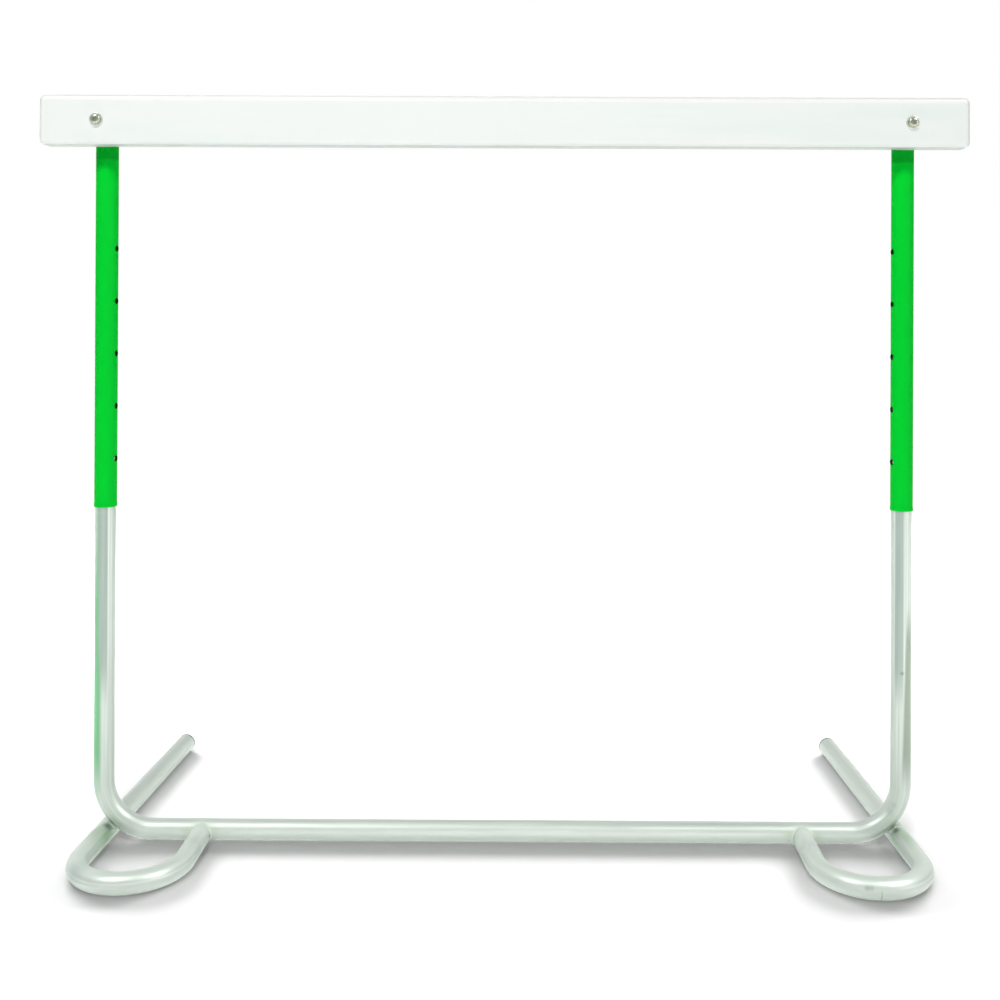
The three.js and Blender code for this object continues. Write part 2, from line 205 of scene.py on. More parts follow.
# Some of these colours are painted light and shade: the pale undersides, the dark upright sides, the
# dark and green reflections, the sooty shade at the bends and the near-black inside the sleeves
steelLook = {
    "colour": (0.63, 0.70, 0.64, 1), "bright": (0.75, 0.835, 0.755, 1), "dark": (0.52, 0.59, 0.53, 1),
    "heat": (0.36, 0.46, 0.2, 1), "green": (0.32, 0.56, 0.29, 1), "soot": (0.1, 0.17, 0.08, 1),
    "greenRub": (0.17, 0.46, 0.23, 1), "greyRub": (0.3, 0.37, 0.29, 1), "slide": (0.35, 0.435, 0.385, 1),
    "under": (0.89, 0.975, 0.895, 1), "edge": (0.5, 0.57, 0.51, 1), "cool": (0.42, 0.52, 0.49, 1),
    "nick": (0.16, 0.23, 0.2, 1), "grease": (0.025, 0.035, 0.022, 1),
    "metallic": 0.34, "roughness": 0.43, "bump": (0.12, 0.03 * mm),
}

# Noise along the tube: how far it is stretched, its scale, detail and roughness
steelGrain = {
    "streaks": (0.012, 420, 3, 0.6), "fineStreaks": (0.02, 1700, 2, 0.5), "stripes": (0.01, 330, 1, 0.5),
}

# Soft round patches: what they are measured from, how far off in mm, their reach in mm and strength.
# The contact is where a corner bend rests on a leg
patchPlaces = {
    "nose": Vector((noseX, uprightY, 0)), "upright": Vector((uprightX, uprightY, 0)),
    "contact": Vector((uprightX - 7 * mm, uprightY - 1 * mm, tubeRadius + 7 * mm)),
    "middle": Vector((0, 0, 0)),
}
steelPatches = {
    "heat": [
        ("nose", (-12.5, -9, 11), 8, 1.4), ("nose", (13, -9, 10), 9, 1.4),
        ("nose", (0, -14, 18), 10, 0.2),
    ],
    "green": [
        ("upright", (-17, -22, 16), 14, 0.6), ("nose", (-11, -8, 5), 10, 0.8),
        ("contact", (0, -24, -4), 34, 0.75),
    ],
    # Sooty mark and painted shade in the crevice where a corner bend rests on a leg
    "soot": [("contact", (0, -8, 2), 7, 1.0)],
    "noseTop": [("nose", (0, -22, 16), 24, 1.3)],
    "noseDull": [("nose", (0, -14, 18), 18, 1.0)],
    "nicks": [
        ("upright", (-1.6, -9.3, 166), 3, 1.0), ("upright", (-13, -9, 36), 6, 0.35),
        ("upright", (-9.5, -9, 41.5), 5, 0.35), ("middle", (316.5, -173.5, 13.5), 4, 0.8),
        ("middle", (320.5, -173.5, 13.5), 3.5, 0.5),
    ],
    "cool": [("middle", (-370.5, -155, 11.3), 20, 1.0)],
}

# Where the marks begin and end. Heights are from the floor, insideSleeve from the sleeve's lower
# end, depths from the uprights, crossbarEnd from the nearer upright, seamX from the middle, and
# turns in degrees round an upright, 0 at the front and rising towards +X
steelMarks = {
    **inMetres(
        tubeUnderside=(4, 12), crossbarUnderside=(10, 19), crossbarDepth=(-11, 11, 0.5),
        crossbarEnd=(-42, -20), legStart=(9, 14), loopEnd=(-60, -25), loopTop=(14, 17),
        uprightStart=(45, 60), slideStart=(125, 175), greenLow=(140, 200), greenStart=(30, 90),
        greenFade=(220, 300), greyHeights=(70, 215, 22), greyMiddle=120,
        seamX=(328.5, 329.7, 0.2), seamTop=(10, 13), insideSleeve=(8, 12),
    ),
    "edgeTurns": [(62, 118, 10), (-116, -66, 10)], "rightFlank": (20, 52, 20),
    "leftSlide": (-30, 32, 5), "rightSlide": (-52, -4, 5), "greenTurns": (-104, -18, 14),
    "greenLowTurn": 15, "greyTurns": (-8, 8), "greyBack": (80, 110), "greySlant": 160,
}


def patched(tree, place, kind, bothSides=True):
    # Adds up the patches of a kind, which are given on the right-hand side if they are on both
    total = 0
    for origin, offset, reach, strength in steelPatches[kind]:
        x, y, z = patchPlaces[origin] + Vector(offset) * mm
        for side in sides.values() if bothSides else [1]:
            total = total + strength * tree.near(place, (side * x, y, z), reach * mm)
    return total


def steelFinish(tree, look, place):
    # Satin tube with streaks along it, tinted by heat at the welds and rubbed where the sleeves ride.
    # Painted light and shade: paler undersides, leg runs, loop tops and nose tops, darker upright
    # sides, a dark and a green painted reflection on the uprights, and painted shade where the bends
    # rest on the leg tubes and inside the sleeves
    marks = steelMarks

    def past(value, mark):
        return tree.rising(value, *marks[mark])

    def within(value, mark):
        return tree.band(value, *marks[mark])

    unrolled = tree.node("ShaderNodeAttribute", output="Vector", attribute_name="unrolled")
    grains = {}
    for name, (stretch, *sizes) in steelGrain.items():
        grains[name] = tree.noise(tree.stretched(unrolled, (1, 1, stretch)), *sizes)
    streaks, fineStreaks = grains["streaks"], grains["fineStreaks"]
    stripes = tree.rising(grains["stripes"], 0.35, 0.6)
    clouds = tree.noise(place, 17, 3, 0.55)
    pores = tree.noise(place, 2600, 1)
    x = tree.axis(place, "X")
    y = x.other("Y") - uprightY
    z = x.other("Z")
    isRight = x.maths("GREATER_THAN", x, 0)
    isLeft = 1 - isRight
    across = x - uprightX * (isRight - isLeft)
    beyond = x.maths("ABSOLUTE", x) - uprightX
    turn = across.maths("ARCTAN2", across, 0 - y) * (180 / pi)

    heat = patched(tree, place, "heat")
    onCrossbar = within(y, "crossbarDepth") * (1 - past(beyond, "crossbarEnd"))
    paintedLegLight = past(y, "legStart")
    loop = 1 - past(y, "loopEnd")
    loopTop = loop * past(z, "loopTop")
    # Painted shade: the uprights' sides are darkened, and the right upright's right-front flank as well
    edge = 0.45 * isRight * within(turn, "rightFlank")
    for limits in marks["edgeTurns"]:
        edge = edge + tree.band(turn, *limits)
    # Painted reflection: a dark band down the front of each upright, from about 15 cm up
    slide = isLeft * within(turn, "leftSlide") + isRight * within(turn, "rightSlide")
    slide = slide * past(z, "slideStart") * (0.8 + 0.2 * tree.rising(streaks, 0.4, 0.6))
    # Painted reflection: a green tint on the left upright's outer front, fading upwards
    lowTurn = marks["greenLowTurn"] * (1 - past(z, "greenLow"))
    greenRub = isLeft * within(turn - lowTurn, "greenTurns") * past(z, "greenStart")
    greenRub = greenRub * (1 - 0.6 * past(z, "greenFade"))
    slant = marks["greySlant"] * (z - marks["greyMiddle"])
    greyRub = isRight * past(turn - slant, "greyTurns") * within(z, "greyHeights")
    greyRub = greyRub * (1 - past(turn, "greyBack"))
    seam = loop * within(x, "seamX") * (1 - past(z, "seamTop"))

    colour = look["colour"]
    for name, strength, mask in [
        ("bright", 0.8, tree.rising(streaks, 0.5, 0.62)),
        ("dark", 0.55, tree.rising(streaks, 0.46, 0.34)),
        ("bright", 0.2, tree.rising(clouds, 0.45, 0.75)),
        ("green", 0.75, patched(tree, place, "green") * stripes),
        ("heat", 0.7, heat),
        ("soot", 0.8, patched(tree, place, "soot")),
        # Painted light: the tubes' undersides and the crossbar's lower front are paler, standing in for
        # light from the white floor
        ("under", 1, 1 - past(z, "tubeUnderside")),
        ("under", 0.8, onCrossbar * (1 - past(z, "crossbarUnderside"))),
        # Painted light: the leg runs behind the crossbar, the tops of the loops and the tops of the
        # noses are lighter
        ("bright", 1, 0.6 * paintedLegLight + loopTop + patched(tree, place, "noseTop")),
        ("edge", 0.75, edge * past(z, "uprightStart")),
        ("slide", 1, slide),
        ("greenRub", 1, greenRub),
        ("greyRub", 0.95, greyRub),
        ("nick", 0.7, patched(tree, place, "nicks", bothSides=False)),
        ("cool", 0.6, patched(tree, place, "cool", bothSides=False)),
        ("green", 0.6, seam),
        # Painted shade: the upright is nearly black where the sleeve covers it, seen through the holes
        ("grease", 0.95, past(z - sleeveLow.z, "insideSleeve")),
    ]:
        colour = tree.mixed(strength * mask, colour, look[name])
    uneven = 0.16 * (fineStreaks - 0.5) + 0.1 * (clouds - 0.5) + 0.1 * heat
    uneven = uneven + 0.35 * patched(tree, place, "noseDull")
    height = fineStreaks + 0.35 * pores
    return surface(tree, look, colour, uneven, height, look["metallic"])


sleeveLook = {
    "colour": (0.0008, 0.655, 0.034, 1), "thin": (0.002, 0.59, 0.037, 1), "bare": (0.012, 0.03, 0.01, 1),
    "grime": (0.001, 0.43, 0.024, 1), "roughness": 0.5, "gloss": 0.04, "bump": (0.18, 0.08 * mm),
    **inMetres(holeMouth=10.6, bareRing=(2.7, 3), ragged=0.3, rowEnd=(212, 214), grimeStart=(-13, -9)),
}


def sleeveFinish(tree, look, place):
    # Green powder coat: a fine orange peel, thinner in soft patches, with painted shade in and round the
    # holes and a painted shadow below and behind the bar. The row of holes is folded into one hole, to
    # measure how far off it is
    peel = tree.noise(place, 900, 2)
    patches = tree.noise(place, 26, 3)
    x = tree.axis(place, "X")
    y, z = x.other("Y"), x.other("Z")
    half = holeRow["pitch"] / 2
    inRow = tree.node("ShaderNodeMath", {0: z - buttonZ, 1: -half, 2: half}, operation="WRAP")
    folded = tree.node("ShaderNodeCombineXYZ", {"X": x.maths("ABSOLUTE", x), "Y": y, "Z": inRow})
    mouth = Vector((uprightX, uprightY, 0)) + holeDirection(sides["right"]) * look["holeMouth"]
    away = tree.distance(folded, mouth) + look["ragged"] * (peel - 0.5)
    inHoles = 1 - tree.rising(z - buttonZ, *look["rowEnd"])
    colour = tree.mixed(0.3 * tree.rising(patches, 0.5, 0.8), look["colour"], look["thin"])
    # Painted shade in and round the holes
    colour = tree.mixed(inHoles * (1 - tree.rising(away, *look["bareRing"])), colour, look["bare"])
    # Painted shadow of the bar on the sleeve below it
    colour = tree.mixed(tree.rising(z - barLow.z, *look["grimeStart"]), colour, look["grime"])
    coat = surface(tree, look, colour, 0.12 * (patches - 0.5), peel)
    return {**coat, "Specular IOR Level": look["gloss"]}


# The top colour is a painted highlight and the low colour is painted shade
boardLook = {
    "colour": (0.905, 0.94, 0.91, 1), "cool": (0.87, 0.93, 0.895, 1), "top": (0.98, 0.985, 0.97, 1),
    "low": (0.5, 0.53, 0.5, 1), "roughness": 0.38, "bump": (0.1, 0.05 * mm),
    **inMetres(topEdge=(-6.4, -5), lowEdge=(0.3, 1.1)),
}


def boardFinish(tree, look, place):
    # White moulded board: satin, with a faint flow along its length, a painted highlight along its top
    # edge and a line of painted shade along its lowest one
    flow = tree.noise(tree.stretched(place, (0.08, 1, 1)), 60, 3)
    pores = tree.noise(place, 1500, 2)
    z = tree.axis(place, "Z")
    colour = tree.mixed(tree.rising(flow, 0.35, 0.7), look["colour"], look["cool"])
    # Painted highlight along the top edge
    colour = tree.mixed(tree.rising(z - barHigh.z, *look["topEdge"]), colour, look["top"])
    # Painted shade along the lowest edge
    colour = tree.mixed(1 - tree.rising(z - barLow.z, *look["lowEdge"]), colour, look["low"])
    return surface(tree, look, colour, 0.14 * (flow - 0.5), pores + 2 * flow)


plasticLook = {
    "colour": (0.016, 0.019, 0.017, 1), "dust": (0.07, 0.08, 0.072, 1), "roughness": 0.42,
    "bump": (0.25, 0.08 * mm),
}


def mouldedFinish(tree, look, place):
    # Black moulded plastic of the plugs and caps, with dust in patches
    grain = tree.noise(place, 1100, 3)
    dust = tree.rising(tree.noise(place, 240, 4), 0.55, 0.8)
    colour = tree.mixed(0.35 * dust, look["colour"], look["dust"])
    return surface(tree, look, colour, 0.25 * dust, grain)


platedLook = {
    "colour": (0.74, 0.78, 0.68, 1), "dull": (0.62, 0.66, 0.56, 1), "head": (0.36, 0.38, 0.3, 1),
    "headBack": (-1.8 * mm, -1.4 * mm), "roughness": 0.24, "bump": (0.1, 0.03 * mm),
}


def platedFinish(tree, look, place):
    # Plating of the screws, washers and nuts, dull in patches and darkest on the screws' heads
    patches = tree.noise(place, 420, 3)
    scratches = tree.noise(tree.stretched(place, (1, 1, 9)), 700, 2)
    y = tree.axis(place, "Y")
    head = 1 - tree.rising(y - barLow.y, *look["headBack"])
    colour = tree.mixed(tree.rising(patches, 0.4, 0.7), look["colour"], look["dull"])
    colour = tree.mixed(head, colour, look["head"])
    return surface(tree, look, colour, 0.2 * (scratches - 0.5) + 0.12 * patches, scratches, 1.0)


springLook = {
    "colour": (0.5, 0.52, 0.53, 1), "stain": (0.3, 0.31, 0.31, 1), "roughness": 0.3,
    "bump": (0.15, 0.03 * mm),
}


def springFinish(tree, look, place):
    # Bare spring steel of the buttons and their leaves
    brushed = tree.noise(tree.stretched(place, (1, 1, 0.1)), 2600, 3)
    stain = tree.rising(tree.noise(place, 300, 3), 0.4, 0.75)
    colour = tree.mixed(stain, look["colour"], look["stain"])
    return surface(tree, look, colour, 0.25 * (brushed - 0.5), brushed, 1.0)


nylonLook = {
    "colour": (0.75, 0.76, 0.72, 1), "shaded": (0.62, 0.64, 0.6, 1), "roughness": 0.4,
    "bump": (0.1, 0.05 * mm),
}


def nylonFinish(tree, look, place):
    # Milky nylon ring of a locking nut
    grain = tree.noise(place, 900, 2)
    colour = tree.mixed(grain, look["colour"], look["shaded"])
    return surface(tree, look, colour, 0.15 * grain, grain)


steel = paint("coatedSteel", steelFinish, steelLook)
greenCoat = paint("greenCoat", sleeveFinish, sleeveLook)
whiteBoard = paint("whiteBoard", boardFinish, boardLook)
blackPlastic = paint("blackPlastic", mouldedFinish, plasticLook)
plated = paint("platedSteel", platedFinish, platedLook)
springSteel = paint("springSteel", springFinish, springLook)
nylon = paint("nylon", nylonFinish, nylonLook)
print("materials made")


# Geometry trees

treeSizes = {
    "tubeSeam": 0.01 * mm, "beadSeam": 0.005 * mm, "beadSides": 14, "beadStep": 0.2,
    "wobbleScale": 180.0, "wobble": 0.4, "crownReach": (0.15, 0.6), "lipSides": 12,
}


def newShaper(name, sizes):
    # A geometry tree with named size inputs. Returns it and its first input, whose others are the sizes
    group = bpy.data.node_groups.new(name, "GeometryNodeTree")
    group.is_modifier = True
    group.interface.new_socket("Geometry", in_out="INPUT", socket_type="NodeSocketGeometry")
    group.interface.new_socket("Geometry", in_out="OUTPUT", socket_type="NodeSocketGeometry")
    for label, kind in {**sizes, "Finish": "Material"}.items():
        group.interface.new_socket(label, in_out="INPUT", socket_type="NodeSocket" + kind)
    tree = Tree(group)
    return tree, tree.node("NodeGroupInput")


def endShaper(tree, given, geometry):
    real = tree.node("GeometryNodeRealizeInstances", {"Geometry": geometry})
    sockets = {"Geometry": real, "Material": given.other("Finish")}
    painted = tree.node("GeometryNodeSetMaterial", sockets)
    tree.node("NodeGroupOutput", {"Geometry": painted})
    return tree.nodeTree


def merged(tree, geometry, distance):
    return tree.node("GeometryNodeMergeByDistance", {"Geometry": geometry, "Distance": distance})


def circleOf(tree, sides, radius):
    return tree.node("GeometryNodeCurvePrimitiveCircle", {"Resolution": sides, "Radius": radius})


def rowOf(tree, count, first, step):
    sockets = {"Count": count, "Start Location": first, "Offset": step}
    return tree.node("GeometryNodeMeshLine", sockets, mode="OFFSET")


def setOn(tree, row, piece, facing=(0, 0, 0)):
    sockets = {"Points": row, "Instance": piece, "Rotation": facing}
    return tree.node("GeometryNodeInstanceOnPoints", sockets)


def laidAlongX(tree, piece, distance):
    shift = tree.node("ShaderNodeCombineXYZ", {"X": distance})
    sockets = {"Geometry": piece, "Translation": shift, "Rotation": (0, pi / 2, 0)}
    return tree.node("GeometryNodeTransform", sockets)


def kept(tree, curve, label, dataType, value):
    # Stores a value on a curve's points, so that the skin that is swept along it still has it
    sockets = {"Geometry": curve, label: value}
    captured = [(label, dataType)]
    return tree.node("GeometryNodeCaptureAttribute", sockets, captured=captured, domain="POINT")


def bentTubeShaper():
    # Rounds the corners of a line as a tube bender does, and sweeps the tube's skin along it. The
    # unrolled attribute holds a point's place on the section and its length along the tube
    tree, given = newShaper("bentTube", {
        "Tube Radius": "Float", "Bend Radius": "Float", "Bend Steps": "Int", "Rings": "Int",
    })
    line = tree.node("GeometryNodeMeshToCurve", {"Mesh": given})
    bent = tree.node("GeometryNodeFilletCurve", {
        "Curve": line, "Count": given.other("Bend Steps"), "Radius": given.other("Bend Radius"),
    }, mode="POLY")
    axis = kept(tree, bent, "Length", "FLOAT", tree.node("GeometryNodeSplineParameter", output="Length"))
    circle = circleOf(tree, given.other("Rings"), given.other("Tube Radius"))
    section = kept(tree, circle, "Around", "VECTOR", tree.node("GeometryNodeInputPosition"))
    skin = tree.node("GeometryNodeCurveToMesh", {"Curve": axis, "Profile Curve": section})
    offset = tree.axis(section.other("Around"), "X")
    unrolled = tree.node("ShaderNodeCombineXYZ", {
        "X": offset, "Y": offset.other("Y"), "Z": axis.other("Length"),
    })
    marked = tree.node("GeometryNodeStoreNamedAttribute", {
        "Geometry": skin, "Name": "unrolled", "Value": unrolled,
    }, data_type="FLOAT_VECTOR", domain="POINT")
    return endShaper(tree, given, merged(tree, marked, treeSizes["tubeSeam"]))


def weldShaper():
    # Lays a rippled bead along a line, tapered at its ends and lower in its middle
    tree, given = newShaper("weldBead", {
        "Bead Radius": "Float", "Ripple Pitch": "Float", "Ripple Share": "Float", "Taper": "Float",
        "Crown Share": "Float", "Seed": "Float",
    })
    pitch, least = given.other("Ripple Pitch"), given.other("Crown Share")
    line = tree.node("GeometryNodeMeshToCurve", {"Mesh": given})
    step = treeSizes["beadStep"] * pitch
    fine = tree.node("GeometryNodeResampleCurve", {"Curve": line, "Length": step}, mode="LENGTH")
    factor = tree.node("GeometryNodeSplineParameter", output="Factor")
    wave = factor.maths("SINE", pi * factor.other("Length") / pitch)
    ripple = 1 + given.other("Ripple Share") * factor.maths("ABSOLUTE", wave)
    ends = factor.maths("MINIMUM", factor, 1 - factor)
    taper = factor.maths("SQRT", (ends / given.other("Taper")).clamped())
    wobble = tree.node("ShaderNodeTexNoise", {
        "Vector": tree.node("GeometryNodeInputPosition"), "W": given.other("Seed"),
        "Scale": treeSizes["wobbleScale"], "Detail": 2.0,
    }, noise_dimensions="4D")
    uneven = 1 + treeSizes["wobble"] * (wobble - 0.5)
    middle = factor.maths("ABSOLUTE", 2 * factor - 1)
    crown = least + (1 - least) * tree.rising(middle, *treeSizes["crownReach"])
    radius = given.other("Bead Radius") * ripple * uneven * taper * crown
    bead = tree.node("GeometryNodeCurveToMesh", {
        "Curve": fine, "Profile Curve": circleOf(tree, treeSizes["beadSides"], 1.0), "Scale": radius,
        "Fill Caps": True,
    })
    return endShaper(tree, given, merged(tree, bead, treeSizes["beadSeam"]))


def perforationShaper():
    # Drills a row of equal holes through one wall of an upright tube, and rings each with a lip
    tree, given = newShaper("perforations", {
        "Axis": "Vector", "Pitch": "Vector", "Holes": "Int", "Hole Radius": "Float", "Reach": "Float",
        "Facing": "Float", "Lip Radius": "Float", "Lip Place": "Float",
    })
    holeRadius, reach, lipRadius = (given.other(size) for size in ("Hole Radius", "Reach", "Lip Radius"))
    row = rowOf(tree, given.other("Holes"), given.other("Axis"), given.other("Pitch"))
    facing = tree.node("ShaderNodeCombineXYZ", {"Z": given.other("Facing")})
    bit = tree.node("GeometryNodeMeshCylinder", {
        "Vertices": holeRow["sides"], "Radius": holeRadius, "Depth": reach,
    }, fill_type="NGON")
    bits = setOn(tree, row, laidAlongX(tree, bit, 0.5 * reach), facing)
    drilled = tree.node("GeometryNodeMeshBoolean", {
        "Mesh 1": given, "Mesh 2": tree.node("GeometryNodeRealizeInstances", {"Geometry": bits}),
    }, operation="DIFFERENCE", solver="EXACT")
    rim = circleOf(tree, holeRow["sides"], holeRadius + 0.5 * lipRadius)
    bead = circleOf(tree, treeSizes["lipSides"], lipRadius)
    ring = tree.node("GeometryNodeCurveToMesh", {"Curve": rim, "Profile Curve": bead})
    lip = laidAlongX(tree, merged(tree, ring, treeSizes["beadSeam"]), given.other("Lip Place"))
    both = tree.node("GeometryNodeJoinGeometry", {"Geometry": setOn(tree, row, lip, facing)})
    tree.nodeTree.links.new(drilled.socket, both.socket.node.inputs["Geometry"])
    return endShaper(tree, given, both)


def pairShaper():
    # Sets a fastener that was made in the middle on each of a row of upright centres
    tree, given = newShaper("fastenerRow", {"First": "Vector", "Step": "Vector", "Count": "Int"})
    row = rowOf(tree, given.other("Count"), given.other("First"), given.other("Step"))
    return endShaper(tree, given, setOn(tree, row, given))


bentTube = bentTubeShaper()
weldBead = weldShaper()
perforations = perforationShaper()
fastenerRow = pairShaper()
print("geometry trees built")


# Making and finishing pieces

def newPiece(name, mesh, material=None):
    piece = bpy.data.objects.new(name, mesh)
    bpy.context.scene.collection.objects.link(piece)
    if material:
        mesh.materials.clear()
        mesh.materials.append(material)
    return piece


def linePiece(name, points):
    mesh = bpy.data.meshes.new(name)
    mesh.from_pydata(points, [(index, index + 1) for index in range(len(points) - 1)], [])
    return newPiece(name, mesh)


def shaped(piece, group, finish, **sizes):
    # Adds a geometry tree to a piece. A size is named as its input is, with the spaces left out
    modifier = piece.modifiers.new(group.name, "NODES")
    modifier.node_group = group
    for item in group.interface.items_tree:
        sizeName = item.name.replace(" ", "")
        if item.in_out == "INPUT" and sizeName in sizes:
            modifier[item.identifier] = sizes[sizeName]
        elif item.name == "Finish":
            modifier[item.identifier] = finish
    return piece


def cutBy(piece, cutter, operation="DIFFERENCE"):
    modifier = piece.modifiers.new("cut", "BOOLEAN")
    modifier.operation = operation
    modifier.solver = "EXACT"
    modifier.object = cutter


def frozen(piece, sharpAngle=32):
    # Turns a piece into the plain mesh that its modifiers make of it, smooth apart from its edges
    graph = bpy.context.evaluated_depsgraph_get()
    mesh = bpy.data.meshes.new_from_object(piece.evaluated_get(graph))
    piece.modifiers.clear()
    piece.data = mesh
    mesh.shade_smooth()
    mesh.set_sharp_from_angle(angle=radians(sharpAngle))
    return piece


def cutOut(piece, *bits, sharpAngle=32):
    # Cuts the bits out of a piece, freezes it, and takes the bits away
    for bit in bits:
        cutBy(piece, bit)
    frozen(piece, sharpAngle)
    for bit in bits:
        bpy.data.objects.remove(bit)
    return piece


def dressed(piece, body, slotName, *nodes):
    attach(piece, body)
    if nodes:
        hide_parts(*nodes)
    return piece


def rounded(corners, steps=5):
    # An outline from corners of (radius, height) or (radius, height, fillet), with the fillets rounded
    points = []
    for index, corner in enumerate(corners):
        here = Vector(corner[:2])
        if len(corner) < 3:
            points.append(here)
            continue
        before = (Vector(corners[index - 1][:2]) - here).normalized()
        after = (Vector(corners[(index + 1) % len(corners)][:2]) - here).normalized()
        half = before.angle(after) / 2
        centre = here + (before + after).normalized() * (corner[2] / sin(half))
        start = here + before * (corner[2] / tan(half)) - centre
        end = here + after * (corner[2] / tan(half)) - centre
        for step in range(steps + 1):
            points.append(centre + start.slerp(end, step / steps) * corner[2])
    return points


def meshOf(shell, name):
    mesh = bpy.data.meshes.new(name)
    shell.to_mesh(mesh)
    shell.free()
    return mesh


def turned(name, outline, place, direction, material=None, around=72, ring=False, turn=0):
    # A piece made by turning an outline about an axis that runs along a direction from a place. A
    # ring's outline closes on itself
    shell = bmesh.new()
    rows = []
    for radius, height in outline:
        if radius < 0.0001 * mm:
            rows.append([shell.verts.new((0, 0, height))] * around)
        else:
            angles = [2 * pi * index / around for index in range(around)]
            spots = [(radius * cos(angle), radius * sin(angle), height) for angle in angles]
            rows.append([shell.verts.new(spot) for spot in spots])
    pairs = list(zip(rows, rows[1:])) + ([(rows[-1], rows[0])] if ring else [])
    for low, high in pairs:
        for index in range(around):
            after = (index + 1) % around
            corners = [low[index], low[after], high[after], high[index]]
            unique = [corner for count, corner in enumerate(corners) if corner not in corners[:count]]
            if len(unique) > 2:
                shell.faces.new(unique)
    bmesh.ops.recalc_face_normals(shell, faces=shell.faces)
    mesh = meshOf(shell, name)
    mesh.transform(Matrix.Rotation(turn, 4, "Z"))
    return newPiece(name, standing(mesh, place, direction), material)


def rod(radius, low, high):
    return [(0, low), (radius, low), (radius, high), (0, high)]


def dome(radius, top, rise, steps, flat=0):
    # Outline of a dome from just above its rim to just below its top, with a flat middle if given
    angles = [step * pi / 2 / steps for step in range(1, steps)]
    return [(flat + (radius - flat) * cos(angle), top - rise * (1 - sin(angle))) for angle in angles]


def boxShell(low, high):
    shell = bmesh.new()
    bmesh.ops.create_cube(shell, size=1)
    middle = (Vector(low) + Vector(high)) / 2
    size = Vector(high) - Vector(low)
    shell.transform(Matrix.Translation(middle) @ Matrix.Diagonal((*size, 1)))
    return shell


def standing(mesh, place, direction):
    # Moves a mesh that was made along +Z so that it runs along a direction from a place
    turn = upwards.rotation_difference(Vector(direction)).to_matrix().to_4x4()
    mesh.transform(Matrix.Translation(Vector(place)) @ turn)
    return mesh


forwards, backwards, upwards = Vector((0, -1, 0)), Vector((0, 1, 0)), Vector((0, 0, 1))


# Frame tube

def hollowTube(name, points):
    tube = linePiece(name, points)
    shaped(tube, bentTube, steel, TubeRadius=tubeRadius, BendRadius=bendRadius,
           BendSteps=tubeStock["bendSteps"], Rings=tubeStock["rings"])
    wall = tube.modifiers.new("wall", "SOLIDIFY")
    wall.thickness = tubeStock["wall"]
    wall.offset = -1
    return tube


def makeFrameTube():
    left, right, top = -uprightX, uprightX, frameHigh.z
    corners = [(left, top), (left, crossbarZ), (right, crossbarZ), (right, top)]
    tube = hollowTube("frameTube", [(x, uprightY, z) for x, z in corners])
    outline = rod(holeRow["radius"], 0, buttonSizes["holeReach"])
    bits = []
    for side in sides.values():
        place, direction = (side * uprightX, uprightY, buttonZ), holeDirection(side)
        bits.append(turned("buttonHoleBit", outline, place, direction, around=holeRow["sides"]))
    return dressed(cutOut(tube, *bits), "base", "frame_steel", "base_frame_tube")


# Feet

footSizes = {
    **inMetres(noseRun=59, noseStart=3.5, legRun=288, copeHalf=30), "lean": radians(2.4),
    "copeSides": 96,
}


def footLine(side):
    # Corner points of a foot's centreline: the nose, both corners of the hairpin, and the leg's end
    turn = pi / 2 + footSizes["lean"]
    reach = bendRadius * tan(turn / 2)
    start = Vector((noseX, uprightY - footSizes["noseStart"], tubeRadius))
    first = Vector((noseX, uprightY - footSizes["noseRun"] - bendRadius, tubeRadius))
    second = first + Vector((bendRadius + reach, 0, 0))
    legDirection = Vector((cos(turn), sin(turn), 0))
    end = second + legDirection * (reach + footSizes["legRun"])
    points = [start, first, second, end]
    return [Vector((side * p.x, p.y, p.z)) for p in points]


def makeFoot(name, side):
    # The nose's end is coped by a rod that lies where the crossbar does
    foot = hollowTube(name + "FootTube", footLine(side))
    half = footSizes["copeHalf"]
    cope = turned("cope", rod(tubeRadius, -half, half), (side * noseX, uprightY, crossbarZ), (1, 0, 0),
                  around=footSizes["copeSides"])
    return dressed(cutOut(foot, cope), "base", "frame_steel", f"{name}_foot_tube")


# Welds

noseWeld = {
    "bead": 1.5 * mm, "pitch": 1.7 * mm, "ripple": 0.16, "crown": 0.3, "taper": 0.08,
    "degrees": range(-58, 239),
}
cornerWeld = {
    **inMetres(bead=1.7, pitch=1.7, halfLength=5.5, offset=3.8), "ripple": 0.2, "crown": 1.0,
    "taper": 0.3, "steps": 6,
}
weldAngle = 60  # an edge of a bead is sharp from this many degrees on


def makeWeld(name, points, sizes, seed):
    weld = linePiece(name, points)
    shaped(weld, weldBead, steel, BeadRadius=sizes["bead"], RipplePitch=sizes["pitch"],
           RippleShare=sizes["ripple"], Taper=sizes["taper"], CrownShare=sizes["crown"],
           Seed=float(seed))
    return dressed(frozen(weld, weldAngle), "base", "frame_steel")


def makeNoseWeld(name, side):
    # Along the line on which the nose's tube meets the crossbar; below the crossbar there is none
    points = []
    for angle in map(radians, noseWeld["degrees"]):
        z = tubeRadius + tubeRadius * sin(angle)
        drop = tubeRadius ** 2 - (z - crossbarZ) ** 2
        if drop > 0:
            points.append((side * noseX + tubeRadius * cos(angle), uprightY - sqrt(drop), z))
    return makeWeld(name + "NoseWeld", points, noseWeld, side)


